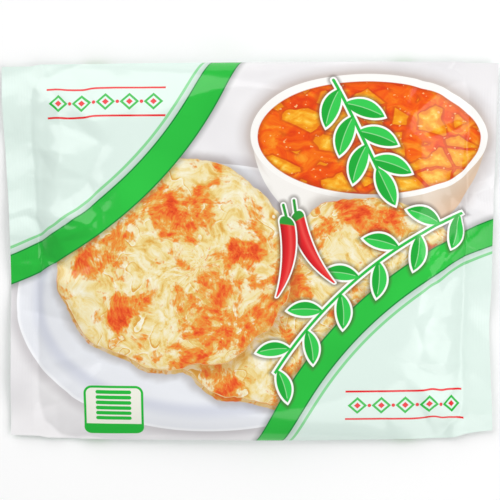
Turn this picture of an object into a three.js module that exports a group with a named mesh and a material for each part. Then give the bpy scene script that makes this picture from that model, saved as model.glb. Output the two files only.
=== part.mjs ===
// A sealed, flat pillow pack of frozen flatbreads, lying on its back with the printed side up.
//
// The pack is one closed piece: a tube of thin film folded along its two long sides, sealed flat
// in a fin at each end, and filled out by a round stack of flatbreads and a little trapped air.
// The long direction is X, the end fins are at both ends of X, and the back rests at Z = 0.
// A seam runs down the middle of the back, folded flat.
//
// Units are millimetres.
import * as THREE from "three";

// Driving dimensions of the pack.
const PACK_LENGTH = 245; // over both fins, measured half way up the front
const PACK_WIDTH = 187; // across the two folded sides
const FILL_HEIGHT = 17; // six flatbreads, the sheets between them and the air above
const FIN_WIDTH = 14; // the flat seal at each end
const FILM = 0.5; // two layers of film, drawn thicker than life
const STACK_RADIUS = 78; // of the round stack inside
const SIDE_TURN = 15; // room that the film takes to turn down beside the stack
const SEAM_WIDTH = 12; // folded seam on the back
const SEAM_RISE = 0.6;
const SEAM_RELIEF = 18; // the back film comes down to the table this far from the seam

// How the outline leaves a plain rectangle.
const TOP_LEFT_FLARE = 4.6; // the upper left corner reaches out past the straight lower half
const RIGHT_FLARE = 6.6; // how fast the right end spreads away from its waist, per pack width
const RIGHT_WAIST = 0.26; // height of the waist of the right end, as a share of the width
const TOP_SLOPE = 2; // the top side climbs towards the right
const SIDE_BOW = 1.9; // the bottom side bows outwards between the seals
const LOW_CORNER_TUCK = 2.3; // the lower right corner is tucked up
const FIN_TUCK = 0.8; // the fins are a little narrower than the filled body

// How the film stands off the table round its border.
const SIDE_HEIGHT = 3.8; // folded side, half way along
const CORNER_HEIGHT = 2.4;
const FIN_HEIGHT = 4.4; // of the fins where they leave the pillow
const FIN_DROOP = 1.6; // their cut ends hang this much lower
const FIN_WAVE = 1.3; // the fins curl up and down by this much
const FIN_WAVE_LENGTH = 64;

// The pillow's profile outside the stack: a tent towards the fins, a rounder turn at the sides, and
// almost straight film towards the corners, where it is slack.
const STACK_DOME = 1.2; // the middle stands this much above the rim of the stack
const TENT_POWER = 1.5;
const TENT_ROUND = 1.18;
const NOSE_POWER = 1.7;
const NOSE_ROUND = 1.45;
const SLACK_POWER = 1.3;
const SLACK_ROUND = 1.02;
const SLACK_SPAN = 60; // from the stack's rim to a corner
const CORNER_POWER = 12;

// Mesh rows and columns: fine where the film turns down, coarse over the stack.
const FIN_COLUMNS = 3;
const RAMP_COLUMNS = 18;
const MIDDLE_COLUMNS = 18;
const RAMP_LENGTH = 55;
const EDGE_ROWS = 9;
const MIDDLE_ROWS = 10; // on each side of the back seam
const EDGE_DEPTH = 30;

const FOLD_SEED = 7;
const PUCKERS_PER_END = 9;
const PUCKER_HEIGHT = 0.8;
const CORNER_FOLD_HEIGHT = 1.3;

// Deep folds that stay in the film, each a straight crease through (x, y).
// angle is the direction of the crease in degrees, and a negative height is a valley.
const FOLDS = [
  { x: 103, y: 14, angle: 60, height: 1.7, reach: 22, breadth: 6 },
  { x: 94, y: 2, angle: 48, height: -1.5, reach: 17, breadth: 5 },
  { x: 91, y: -14, angle: 125, height: 1.3, reach: 15, breadth: 6 },
  { x: 104, y: -44, angle: 90, height: -1.1, reach: 26, breadth: 5 },
  { x: 98, y: 50, angle: 108, height: -1.2, reach: 22, breadth: 6 },
  { x: -104, y: 24, angle: 88, height: -1.3, reach: 30, breadth: 5 },
  { x: -99, y: 8, angle: 20, height: 1.3, reach: 10, breadth: 5 },
  { x: -86, y: 29, angle: 40, height: -1.3, reach: 18, breadth: 8 },
  { x: -103, y: 78, angle: -40, height: 1.5, reach: 15, breadth: 5 },
  { x: -46, y: 59, angle: 22, height: -1, reach: 20, breadth: 10 },
  { x: 99, y: -71, angle: 40, height: 1.2, reach: 17, breadth: 5 },
];

const clamp = (value, low, high) => Math.min(high, Math.max(low, value));
const mix = (a, b, share) => a + (b - a) * share;

function ease(from, to, value) {
  const share = clamp((value - from) / (to - from), 0, 1);
  return share * share * (3 - 2 * share);
}

// A repeatable stream of numbers between 0 and 1.
function seeded(seed) {
  let state = seed;
  return () => {
    state = (state * 16807) % 2147483647;
    return state / 2147483647;
  };
}

// The outline, as four sides. across runs 0 to 1 from left to right, up from bottom to top.
const finTuck = (across) => FIN_TUCK * ease(0.08, 0.055, Math.min(across, 1 - across));
const leftEdge = (up) => -PACK_LENGTH / 2 + 2.6 - TOP_LEFT_FLARE * ease(0.45, 1, up);
const rightEdge = (up) => PACK_LENGTH / 2 - 3.1 + RIGHT_FLARE * Math.hypot(up - RIGHT_WAIST, 0.03);
const topEdge = (across) =>
  PACK_WIDTH / 2 - 0.8 + TOP_SLOPE * across + 0.4 * Math.sin(Math.PI * across) - finTuck(across);
const bottomEdge = (across) => {
  const bow = SIDE_BOW * Math.sin(Math.PI * across);
  return -PACK_WIDTH / 2 + 0.3 - bow + LOW_CORNER_TUCK * ease(0.9, 1, across) + finTuck(across);
};

// Short puckers that run inwards from each fin, at uneven places along it.
function makePuckers() {
  const random = seeded(FOLD_SEED);
  const puckers = [];
  for (const end of [-1, 1]) {
    for (let i = 0; i < PUCKERS_PER_END; i++) {
      const slot = (i + 0.2 + 0.6 * random()) / PUCKERS_PER_END;
      puckers.push({
        x: end * (PACK_LENGTH / 2 - FIN_WIDTH - 9),
        y: (slot - 0.5) * (PACK_WIDTH - 24),
        angle: (random() - 0.5) * 50,
        height: (random() < 0.5 ? -1 : 1) * PUCKER_HEIGHT * (0.6 + 0.8 * random()),
        reach: 8 + 8 * random(),
        breadth: 4 + 2 * random(),
      });
    }
  }
  return puckers;
}

// Folds that fan out from the stack to each corner, where the slack film lies nearly flat.
function makeCornerFolds() {
  const folds = [];
  for (const end of [-1, 1]) {
    for (const side of [-1, 1]) {
      for (const turn of [-18, 0, 18]) {
        folds.push({
          x: end * (PACK_LENGTH / 2 - 36),
          y: side * (PACK_WIDTH / 2 - 22 - turn * 0.7),
          angle: end * side * (40 - turn),
          height: turn === 0 ? CORNER_FOLD_HEIGHT : -0.7 * CORNER_FOLD_HEIGHT,
          reach: 19,
          breadth: 6,
        });
      }
    }
  }
  return folds;
}

const ALL_FOLDS = [...FOLDS, ...makePuckers(), ...makeCornerFolds()];

// The height that one fold adds at a point: a sharp crease with sides that run out.
function foldHeight(fold, x, y) {
  const angle = THREE.MathUtils.degToRad(fold.angle);
  const dx = x - fold.x;
  const dy = y - fold.y;
  const along = (dx * Math.cos(angle) + dy * Math.sin(angle)) / fold.reach;
  const over = (-dx * Math.sin(angle) + dy * Math.cos(angle)) / fold.breadth;
  return fold.height * Math.exp(-along * along - Math.hypot(over, 0.2) * 1.2 + 0.24);
}

// Where a point lies between the middle of the pack and its border, along the ray from the middle.
// share is 0 on the rim of the stack and 1 on the border; span is the distance between the two.
function placeOf(x, y, across, up) {
  const endX = (x < 0 ? -leftEdge(up) : rightEdge(up)) - FIN_WIDTH;
  const sideY = y < 0 ? -bottomEdge(across) : topEdge(across);
  const parts = Math.pow(Math.abs(x) / endX, CORNER_POWER) + Math.pow(Math.abs(y) / sideY, CORNER_POWER);
  const out = Math.max(1e-6, Math.pow(parts, 1 / CORNER_POWER));
  const reach = Math.hypot(x, y) / out || STACK_RADIUS + SIDE_TURN;
  const rim = Math.min(STACK_RADIUS, reach - SIDE_TURN);
  return { share: clamp((out * reach - rim) / (reach - rim), 0, 1), span: reach - rim };
}

// The height of the border: the folded sides stand half way up the fill, and the fins curl.
function borderHeight(x, y) {
  const endShare = ease(0.45, 0.87, Math.abs(x) / (PACK_LENGTH / 2));
  const side = mix(SIDE_HEIGHT, CORNER_HEIGHT, endShare);
  const phase = x < 0 ? 0.6 : 2.4;
  const curl = Math.sin((2 * Math.PI * y) / FIN_WAVE_LENGTH + phase) + 0.4 * Math.sin(y / 5.6 + 2 * phase);
  const outwards = Math.max(0, Math.abs(x) - PACK_LENGTH / 2 + FIN_WIDTH) / FIN_WIDTH;
  const fin = FIN_HEIGHT - FIN_DROOP * outwards + FIN_WAVE * curl * mix(0.45, 1, outwards);
  const sideness = ease(0.86, 1, Math.abs(y) / (PACK_WIDTH / 2));
  return mix(mix(side, fin, endShare), side, sideness);
}

// How far the seam on the back pushes the back film up beside itself.
function seamRelief(y) {
  const off = Math.abs(y) - SEAM_WIDTH / 2;
  return off <= 0.01 ? 0 : SEAM_RISE * (1 - ease(1, SEAM_RELIEF, off));
}

// Heights of the front and back film over one point of the table.
function filmHeights(x, y, across, up) {
  const border = borderHeight(x, y);
  const { share, span } = placeOf(x, y, across, up);
  const nose = ease(2 * SIDE_TURN, SIDE_TURN, span);
  const slackness = ease(2.2 * SIDE_TURN, SLACK_SPAN, span);
  const power = mix(mix(TENT_POWER, NOSE_POWER, nose), SLACK_POWER, slackness);
  const round = mix(mix(TENT_ROUND, NOSE_ROUND, nose), SLACK_ROUND, slackness);
  const full = Math.pow(1 - Math.pow(share, power), 1 / round);
  const crown = FILL_HEIGHT - STACK_DOME * Math.min(1, Math.hypot(x, y) / STACK_RADIUS) ** 2;
  let folds = 0;
  for (const fold of ALL_FOLDS) folds += foldHeight(fold, x, y);
  const inFin = ease(0, FIN_WIDTH, Math.abs(x) - PACK_LENGTH / 2 + FIN_WIDTH);
  const slack = mix(0.3, 1, ease(0, 0.3, share)) * (1 - ease(0.8, 1, share) * nose) * (1 - inFin);
  const back = (border - FILM) * (1 - full) + seamRelief(y);
  const front = border + (crown - border) * full + folds * slack;
  return { front: Math.max(front, back + FILM), back: Math.max(0, back) };
}

// Grid positions between 0 and 1, from bands of so many millimetres in so many steps.
function spread(bands) {
  const stops = [0];
  for (const [length, count] of bands) {
    const start = stops[stops.length - 1];
    for (let i = 1; i <= count; i++) stops.push(start + (length * i) / count);
  }
  return stops.map((stop) => stop / stops[stops.length - 1]);
}

const columns = spread([
  [FIN_WIDTH, FIN_COLUMNS],
  [RAMP_LENGTH, RAMP_COLUMNS],
  [PACK_LENGTH - 2 * (FIN_WIDTH + RAMP_LENGTH), MIDDLE_COLUMNS],
  [RAMP_LENGTH, RAMP_COLUMNS],
  [FIN_WIDTH, FIN_COLUMNS],
]);
const besideSeam = PACK_WIDTH / 2 - EDGE_DEPTH - SEAM_WIDTH / 2 - 1;
const rows = spread([
  [EDGE_DEPTH, EDGE_ROWS],
  [besideSeam, MIDDLE_ROWS],
  [1, 1],
  [SEAM_WIDTH, 2],
  [1, 1],
  [besideSeam, MIDDLE_ROWS],
  [EDGE_DEPTH, EDGE_ROWS],
]);

// The seam is straight, although the two folded sides are not quite parallel.
function pointOf(across, up) {
  const straight = mix(-PACK_WIDTH / 2, PACK_WIDTH / 2, up);
  const bent = mix(bottomEdge(across), topEdge(across), up);
  const y = mix(straight, bent, ease(SEAM_WIDTH / 2 + 1, PACK_WIDTH / 4, Math.abs(straight)));
  return [mix(leftEdge(up), rightEdge(up), across), y];
}

// The closed film: a front sheet, a back sheet and a narrow wall round the border.
function makePouch() {
  const frontPoints = [];
  const backPoints = [];
  for (const up of rows) {
    for (const across of columns) {
      const [x, y] = pointOf(across, up);
      const heights = filmHeights(x, y, across, up);
      frontPoints.push(x, y, heights.front);
      backPoints.push(x, y, heights.back);
    }
  }
  const faces = [];
  const quad = (a, b, c, d) => faces.push(a, b, c, a, c, d);
  const front = (row, column) => row * columns.length + column;
  const back = (row, column) => rows.length * columns.length + front(row, column);
  const wall = (from, to) => quad(back(...from), back(...to), front(...to), front(...from));
  const lastRow = rows.length - 1;
  const lastColumn = columns.length - 1;
  for (let row = 0; row < lastRow; row++) {
    for (let column = 0; column < lastColumn; column++) {
      quad(front(row, column), front(row, column + 1), front(row + 1, column + 1), front(row + 1, column));
      quad(back(row + 1, column), back(row + 1, column + 1), back(row, column + 1), back(row, column));
    }
  }
  for (let column = 0; column < lastColumn; column++) {
    wall([0, column], [0, column + 1]);
    wall([lastRow, column + 1], [lastRow, column]);
  }
  for (let row = 0; row < lastRow; row++) {
    wall([row + 1, 0], [row, 0]);
    wall([row, lastColumn], [row + 1, lastColumn]);
  }
  const geometry = new THREE.BufferGeometry();
  geometry.setAttribute("position", new THREE.Float32BufferAttribute([...frontPoints, ...backPoints], 3));
  geometry.setIndex(faces);
  geometry.computeBoundingBox();
  const middle = geometry.boundingBox.getCenter(new THREE.Vector3());
  geometry.translate(-middle.x, -middle.y, -geometry.boundingBox.min.z);
  geometry.computeVertexNormals();
  return geometry;
}

const printedFilm = new THREE.MeshStandardMaterial({ color: 0xe3f5ec, roughness: 0.35, metalness: 0 });

const pack = new THREE.Group();
const pouch = new THREE.Mesh(makePouch(), printedFilm);
pouch.name = "sealed_pouch";
pack.add(pouch);

export default pack;
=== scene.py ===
# %% [markdown]
# A shut film pack of frozen flatbreads, lying on its back and seen from straight above.
# The pack is a tube of printed plastic film. Both ends are sealed flat, and a round stack of
# breads fills the middle. The CAD model already holds its true size and its main folds, so this
# script dresses that model: it makes the film again as a much finer sheet, with the same outline
# and nearly the same height, and gives it ink, gloss, creases and light. Lengths are in
# millimetres unless a comment says otherwise, and they become metres where a mesh is made.

import math
import random

import bpy
import numpy as np
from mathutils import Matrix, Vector
from mathutils.geometry import delaunay_2d_cdt


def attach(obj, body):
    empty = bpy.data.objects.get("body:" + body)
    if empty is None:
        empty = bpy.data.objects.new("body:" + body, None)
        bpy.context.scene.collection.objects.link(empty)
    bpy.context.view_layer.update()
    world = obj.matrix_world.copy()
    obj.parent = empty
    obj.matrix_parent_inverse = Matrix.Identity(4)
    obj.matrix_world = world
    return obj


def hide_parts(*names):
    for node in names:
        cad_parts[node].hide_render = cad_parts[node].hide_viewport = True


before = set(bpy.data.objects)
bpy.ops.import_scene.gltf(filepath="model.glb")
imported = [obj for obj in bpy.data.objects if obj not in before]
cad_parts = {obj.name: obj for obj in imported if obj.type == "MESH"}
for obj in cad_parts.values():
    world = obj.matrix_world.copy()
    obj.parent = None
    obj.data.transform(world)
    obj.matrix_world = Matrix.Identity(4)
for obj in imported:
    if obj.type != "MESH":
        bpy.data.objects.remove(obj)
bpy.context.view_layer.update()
POUCH = "sealed_pouch"
MM = 0.001  # metres


# %% [markdown]
# The camera comes first, because it says which details will be seen. It looks straight down, as
# for a catalogue picture, with X to the right and Y up. A long lens from a metre away keeps the
# two long sides parallel, as they are on the real pack.

# %% The camera
PICTURE_WIDTH = 250.0  # of table across the whole picture
CAMERA_HEIGHT = 1000.0  # above the rim of the pack
RIM_HEIGHT = 4.0
AIM_X, AIM_Y = -0.12, 0.45  # middle of the picture, from the middle of the pack
SENSOR_WIDTH = 36.0
NEAREST, FURTHEST = 0.05, 10.0  # metres

lens = bpy.data.cameras.new("straight_down")
lens.sensor_width = SENSOR_WIDTH
lens.lens = SENSOR_WIDTH * CAMERA_HEIGHT / PICTURE_WIDTH
lens.clip_start = NEAREST
lens.clip_end = FURTHEST
camera = bpy.data.objects.new("camera", lens)
camera.location = Vector((AIM_X, AIM_Y, CAMERA_HEIGHT + RIM_HEIGHT)) * MM
bpy.context.scene.collection.objects.link(camera)
bpy.context.scene.camera = camera
print("lens, mm:", lens.lens)

# %% [markdown]
# Two small sums serve all through. One goes from one value to another by a share. The other is
# a soft step: it starts and ends level, so no form begins with a hard edge. Its two ends may
# stand in either order, and then it falls instead of rising.

# %% Blends and soft steps
def mix(a, b, share):
    return a + (b - a) * share


def ease(start, end, value):
    share = np.clip((value - start) / (end - start), 0, 1)
    return share * share * (3 - 2 * share)


print("soft step at a quarter of its way:", float(ease(0, 1, 0.25)))

# %% [markdown]
# The outline of the pack is nearly a rectangle, but each side has its own small lean or bow. They
# are written as functions of how far along the side a point is, from 0 to 1, so that a sheet of
# any fineness can follow them. The sizes are those of the solid pack.

# %% The two ends
PACK_LENGTH = 245.0
FIN_WIDTH = 14.0
LEFT_SETBACK = 2.6
TOP_LEFT_FLARE = 4.6
FLARE_START = 0.45
RIGHT_SETBACK = 3.1
RIGHT_FLARE = 6.6
RIGHT_WAIST = 0.26
WAIST_ROUND = 0.03


def left_edge(up):
    return -PACK_LENGTH / 2 + LEFT_SETBACK - TOP_LEFT_FLARE * ease(FLARE_START, 1, up)


def right_edge(up):
    return PACK_LENGTH / 2 - RIGHT_SETBACK + RIGHT_FLARE * np.hypot(up - RIGHT_WAIST, WAIST_ROUND)


print("fin to fin, halfway up, mm:", round(float(right_edge(0.5) - left_edge(0.5)), 1))

# %% The two long sides
PACK_WIDTH = 187.0
TOP_SETBACK = 0.8
TOP_SLOPE = 2.0
TOP_BOW = 0.4
BOTTOM_SETBACK = 0.3
SIDE_BOW = 1.9
LOW_CORNER_TUCK = 2.3
LOW_CORNER_START = 0.9
FIN_TUCK = 0.8
TUCK_START, TUCK_END = 0.08, 0.055  # shares of the length, from the nearer end


def fin_tuck(across):
    return FIN_TUCK * ease(TUCK_START, TUCK_END, np.minimum(across, 1 - across))


def top_edge(across):
    slope = TOP_SLOPE * across + TOP_BOW * np.sin(np.pi * across)
    return PACK_WIDTH / 2 - TOP_SETBACK + slope - fin_tuck(across)


def bottom_edge(across):
    bow = SIDE_BOW * np.sin(np.pi * across)
    corner = LOW_CORNER_TUCK * ease(LOW_CORNER_START, 1, across)
    return -PACK_WIDTH / 2 + BOTTOM_SETBACK - bow + corner + fin_tuck(across)


print("side to side in the middle, mm:", round(float(top_edge(0.5) - bottom_edge(0.5)), 1))

# %% [markdown]
# Film remembers every fold it has been given. The deep ones are known by their place: each is a
# straight ridge or valley with a sharp middle and sides that run out. They are the solid pack's
# own folds, in the same places.

# %% The folds that are known by place
FOLDS = [  # across, up, direction in degrees, height, reach, breadth
    (103, 14, 60, 1.7, 22, 6),
    (94, 2, 48, -1.5, 17, 5),
    (91, -14, 125, 1.3, 15, 6),
    (104, -44, 90, -1.1, 26, 5),
    (98, 50, 108, -1.2, 22, 6),
    (-104, 24, 88, -1.3, 30, 5),
    (-99, 8, 20, 1.3, 10, 5),
    (-86, 29, 40, -1.3, 18, 8),
    (-103, 78, -40, 1.5, 15, 5),
    (-46, 59, 22, -1, 20, 10),
    (99, -71, 40, 1.2, 17, 5),
]
FOLD_SHARPNESS = 0.2
FOLD_FALL = 1.2


def fold_height(fold, x, y):
    fold_x, fold_y, degrees, height, reach, breadth = fold
    c, s = math.cos(math.radians(degrees)), math.sin(math.radians(degrees))
    along = ((x - fold_x) * c + (y - fold_y) * s) / reach
    over = (-(x - fold_x) * s + (y - fold_y) * c) / breadth
    fall = np.hypot(over, FOLD_SHARPNESS) * FOLD_FALL
    return height * np.exp(-along * along - fall + FOLD_FALL * FOLD_SHARPNESS)


print("folds known by place:", len(FOLDS))

# %% [markdown]
# Short puckers stand in a row beside each seal, where the round fill pulls on the flat fin, and
# three folds fan out to each corner. Nobody places such folds one by one, so a rule does. It
# takes its chances from a run of numbers that any language makes alike, and so the solid pack
# has the very same puckers.

# %% Puckers along the seals
FOLD_SEED = 7
PUCKERS_PER_END = 9
PUCKER_HEIGHT = 0.8
PUCKER_INSET = 9.0  # from the seal towards the fill
PUCKER_MARGIN = 24.0  # of the width, free of puckers
PUCKER_LEAN = 50.0  # degrees from the one extreme to the other
PUCKER_REACH, PUCKER_BREADTH = 8.0, 4.0  # at least
SLOT_START, SLOT_FREE = 0.2, 0.6  # shares of a pucker's slot
LEAST_SHARE, SHARE_FREE = 0.6, 0.8  # of the pucker height
RUN_STEP, RUN_LENGTH = 16807, 2147483647


def number_run(seed):
    state = seed
    while True:
        state = state * RUN_STEP % RUN_LENGTH
        yield state / RUN_LENGTH


def pucker_rows():
    draw = number_run(FOLD_SEED)
    for end in (-1, 1):
        for i in range(PUCKERS_PER_END):
            slot = (i + SLOT_START + SLOT_FREE * next(draw)) / PUCKERS_PER_END
            turn = (next(draw) - 0.5) * PUCKER_LEAN
            sign = -1 if next(draw) < 0.5 else 1
            height = sign * PUCKER_HEIGHT * (LEAST_SHARE + SHARE_FREE * next(draw))
            reach = PUCKER_REACH * (1 + next(draw))
            breadth = PUCKER_BREADTH * (1 + 0.5 * next(draw))
            x = end * (PACK_LENGTH / 2 - FIN_WIDTH - PUCKER_INSET)
            y = (slot - 0.5) * (PACK_WIDTH - PUCKER_MARGIN)
            yield x, y, turn, height, reach, breadth


puckers = [*pucker_rows()]
print("puckers:", len(puckers))

# %% Fans of folds at the corners
CORNER_FOLD_HEIGHT = 1.3
VALLEY_SHARE = 0.7  # how deep a fan's outer folds are, by its middle one
FAN_TURNS = (-18, 0, 18)  # degrees
FAN_LEAN = 40  # degrees
FAN_SPREAD = 0.7  # sideways for each degree
FAN_INSET_X, FAN_INSET_Y = 36.0, 22.0
FAN_REACH, FAN_BREADTH = 19, 6


def corner_fans():
    for end in (-1, 1):
        for side in (-1, 1):
            for turn in FAN_TURNS:
                share = 1 if turn == 0 else -VALLEY_SHARE
                x = end * (PACK_LENGTH / 2 - FAN_INSET_X)
                y = side * (PACK_WIDTH / 2 - FAN_INSET_Y - turn * FAN_SPREAD)
                lean = end * side * (FAN_LEAN - turn)
                yield x, y, lean, share * CORNER_FOLD_HEIGHT, FAN_REACH, FAN_BREADTH


ALL_FOLDS = [*FOLDS, *puckers, *corner_fans()]
print("folds in all:", len(ALL_FOLDS))

# %% [markdown]
# The two sheets of film meet along a border that runs round the pack. At the long sides the tube
# is folded, and the fold floats a few millimetres up. At the ends, hot jaws have pressed the
# sheets together into fins, which droop a little and curl in long waves, because heat shrinks
# them unevenly. The height of that border is one rule for both sheets.

# %% How high the border lies
SIDE_HEIGHT = 3.8
CORNER_HEIGHT = 2.4
FIN_HEIGHT = 4.4
FIN_DROOP = 1.6
FIN_WAVE = 1.3
FIN_WAVE_LENGTH = 64.0
LEFT_PHASE, RIGHT_PHASE = 0.6, 2.4
RIPPLE, RIPPLE_LENGTH = 0.4, 5.6
WAVE_AT_SEAL = 0.45  # of the wave at the cut edge
END_START, END_FULL = 0.45, 0.87  # shares of half the length
SIDE_START = 0.86  # share of half the width


def border_height(x, y):
    end_share = ease(END_START, END_FULL, np.abs(x) / (PACK_LENGTH / 2))
    side = mix(SIDE_HEIGHT, CORNER_HEIGHT, end_share)
    phase = np.where(x < 0, LEFT_PHASE, RIGHT_PHASE)
    ripple = RIPPLE * np.sin(y / RIPPLE_LENGTH + 2 * phase)
    curl = np.sin(2 * np.pi * y / FIN_WAVE_LENGTH + phase) + ripple
    outwards = np.maximum(0, np.abs(x) - PACK_LENGTH / 2 + FIN_WIDTH) / FIN_WIDTH
    fin = FIN_HEIGHT - FIN_DROOP * outwards + FIN_WAVE * curl * mix(WAVE_AT_SEAL, 1, outwards)
    sideness = ease(SIDE_START, 1, np.abs(y) / (PACK_WIDTH / 2))
    return mix(mix(side, fin, end_share), side, sideness)


cut_edge = border_height(PACK_LENGTH / 2, np.linspace(-PACK_WIDTH / 2, PACK_WIDTH / 2, 50))
print("right fin's cut edge, mm up:", round(cut_edge.min(), 1), "to", round(cut_edge.max(), 1))

# %% [markdown]
# The back lies flat but for its seam. Where the tube was closed, the seal is folded flat and
# lies under the pack as a strip along the middle. The strip itself rests on the table. The film
# beside it is lifted by as much as the strip is thick, and comes back down further out.

# %% The seam along the back
SEAM_WIDTH = 12.0
SEAM_RISE = 0.6
SEAM_STEP = 1.8
RELIEF_START, SEAM_RELIEF = 1.0, 18.0


def seam_relief(y):
    off = np.abs(y) - SEAM_WIDTH / 2
    relief = 1 - ease(RELIEF_START, SEAM_RELIEF, off)
    return SEAM_RISE * relief * ease(-SEAM_STEP, SEAM_STEP, off)


print("seam's height beside the strip, mm:", round(float(seam_relief(SEAM_WIDTH / 2 + 3)), 2))

# %% [markdown]
# Between the folds the film is a low pillow. It lies on the round stack, and from the stack's rim
# it runs down like a tent to the flat fins, and in a rounder turn to the folded sides. Every
# point is placed by its share of the way from the rim to the border, along the ray from the
# middle. A balloon would swell alike on all sides, which is why the stack's rim is in the sum.
# The rim isn't quite round here, and between it and the border the film is drawn fuller than the
# solid pack, by about 1.6 mm at most. On the stack and along the border the two agree.

# %% Where a point lies between the stack and the border
STACK_RADIUS = 78.0
STACK_UNEVEN = 0.03
SIDE_TURN = 15.0
CORNER_POWER = 12
LEAST_OUT, LEAST_REACH = 1e-6, 1.0  # keep the divisions off zero in the very middle


def place_of(x, y, across, up):
    end_x = np.where(x < 0, -left_edge(up), right_edge(up)) - FIN_WIDTH
    side_y = np.where(y < 0, -bottom_edge(across), top_edge(across))
    parts = (np.abs(x) / end_x) ** CORNER_POWER + (np.abs(y) / side_y) ** CORNER_POWER
    out = np.maximum(LEAST_OUT, parts ** (1 / CORNER_POWER))
    reach = np.maximum(np.hypot(x, y) / out, LEAST_REACH)
    turn = np.arctan2(y, x)
    lobes = STACK_UNEVEN * (np.sin(3 * turn + 1) + 0.7 * np.sin(5 * turn))
    rim = np.minimum(STACK_RADIUS * (1 + lobes), reach - SIDE_TURN)
    return np.clip((out * reach - rim) / (reach - rim), 0, 1), reach - rim


free_film = place_of(PACK_LENGTH / 2 - FIN_WIDTH, 0.0, 1.0, 0.5)[1]
print("film between the stack and the right fin, mm:", round(float(free_film), 1))

# %% [markdown]
# In the seals the two sheets are one, and a long side is a single sheet folded over. With
# creases of its own out to the edge, each sheet would go its own way and the pack would gape. So
# over the last fifth of the way out, the back gives up its own relief and takes on the front's.
# In the fins the two then lie as far apart as the joined film is thick, and at the very edge
# that thins to nothing.

# %% How thick the joined film is
FILM = 0.5  # both sheets together, drawn thicker than life
RIM_WIDTH = 2.0


def joined_thickness(across, up):
    from_end = PACK_LENGTH * np.minimum(across, 1 - across)
    from_side = PACK_WIDTH * np.minimum(up, 1 - up)
    return FILM * ease(0, RIM_WIDTH, np.minimum(from_end, from_side))


print("joined film at the border and inside it, mm:", joined_thickness(np.array([0, 0.5]), 0.5))

# %% The height of each sheet
JOIN_START = 0.8  # share of the way from the stack to the border
FILL_HEIGHT = 17.0
STACK_DOME = 1.2
TENT_POWER, TENT_ROUND = 1.9, 1.15
NOSE_POWER, NOSE_ROUND = 1.9, 1.4
NOSE_START = 0.8  # share of the way to a folded side
SLACK_POWER, SLACK_ROUND = 1.8, 1.02
SLACK_START, SLACK_SPAN = 2.2 * SIDE_TURN, 60.0
ON_STACK = 0.3  # of a fold's height shows on the stack
FREE_START = 0.3  # share of the way from which all of it shows


def film_heights(x, y, across, up, creases, back_creases):
    border = border_height(x, y)
    share, span = place_of(x, y, across, up)
    nose = ease(2 * SIDE_TURN, SIDE_TURN, span)
    slackness = ease(SLACK_START, SLACK_SPAN, span)
    power = mix(mix(TENT_POWER, NOSE_POWER, nose), SLACK_POWER, slackness)
    roundness = mix(mix(TENT_ROUND, NOSE_ROUND, nose), SLACK_ROUND, slackness)
    full = (1 - share**power) ** (1 / roundness)
    crown = FILL_HEIGHT - STACK_DOME * np.minimum(1, np.hypot(x, y) / STACK_RADIUS) ** 2
    folds = sum(fold_height(fold, x, y) for fold in ALL_FOLDS)
    in_fin = ease(0, FIN_WIDTH, np.abs(x) - PACK_LENGTH / 2 + FIN_WIDTH)
    free = mix(ON_STACK, 1, ease(0, FREE_START, share))
    free = free * (1 - ease(NOSE_START, 1, share) * nose) * (1 - in_fin)
    pillow = border + (crown - border) * full
    apart = (border - FILM) * (1 - full) + seam_relief(y) + back_creases
    front = np.maximum(pillow + folds * free + creases, apart + FILM / 2)
    joined = (border - joined_thickness(across, up)) * (1 - full) + front - pillow
    back = mix(apart, joined, ease(JOIN_START, 1, share))
    return front, np.maximum(back, 0)


top, under = film_heights(1.0, 1.0, 0.5, 0.5, 0.0, 0.0)
print("front and back near the middle, mm:", round(float(top), 1), round(float(under), 1))

# %% [markdown]
# Fine creases are what make film look like film: flat facets with sharp edges between them. A
# cloth simulation gives soft rolls instead, so the facets are made directly. Points are strewn
# over the pack, each a little higher or lower than the film, and triangles are stretched between
# them. Each triangle is one flat facet. The net is read on a raster, and softened by half a
# millimetre, so that its edges catch the light as a crease in film does.

# %% A net of facets
RASTER = 0.5
HALF_X, HALF_Y = 130.0, 100.0
SITE_SHIFT = 0.42  # of the spacing
SAME_SITE = 1e-6
raster_x = np.arange(-HALF_X, HALF_X + RASTER / 2, RASTER)
raster_y = np.arange(-HALF_Y, HALF_Y + RASTER / 2, RASTER)
RX, RY = np.meshgrid(raster_x, raster_y)


def strewn_sites(seed, spacing):
    draw = random.Random(seed)
    rows = int(2 * HALF_Y / spacing) + 3
    columns = int(2 * HALF_X / spacing) + 3
    for row in range(rows):
        for column in range(columns):
            shift_x = draw.uniform(-SITE_SHIFT, SITE_SHIFT) * spacing
            shift_y = draw.uniform(-SITE_SHIFT, SITE_SHIFT) * spacing
            x = (column - columns / 2 + 0.5 * (row % 2)) * spacing + shift_x
            y = (row - rows / 2) * spacing + shift_y
            yield x, y, draw.uniform(-1, 1)


def facet_net(seed, spacing):
    sites = [*strewn_sites(seed, spacing)]
    flat = [Vector(site[:2]) for site in sites]
    _, _, triangles, *_ = delaunay_2d_cdt(flat, [], [], 0, SAME_SITE)
    net = np.zeros_like(RX)
    for triangle in triangles:
        (ax, ay, ah), (bx, by, bh), (cx, cy, ch) = (sites[i] for i in triangle)
        area = (bx - ax) * (cy - ay) - (cx - ax) * (by - ay)
        columns_in = slice(*np.searchsorted(raster_x, (min(ax, bx, cx), max(ax, bx, cx))))
        rows_in = slice(*np.searchsorted(raster_y, (min(ay, by, cy), max(ay, by, cy))))
        x, y = RX[rows_in, columns_in], RY[rows_in, columns_in]
        b = ((x - ax) * (cy - ay) - (cx - ax) * (y - ay)) / area
        c = ((bx - ax) * (y - ay) - (x - ax) * (by - ay)) / area
        inside = (b >= 0) & (c >= 0) & (b + c <= 1)
        net[rows_in, columns_in][inside] = (ah + (bh - ah) * b + (ch - ah) * c)[inside]
    print("facets:", len(triangles), "about", spacing, "mm wide")
    return net


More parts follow.
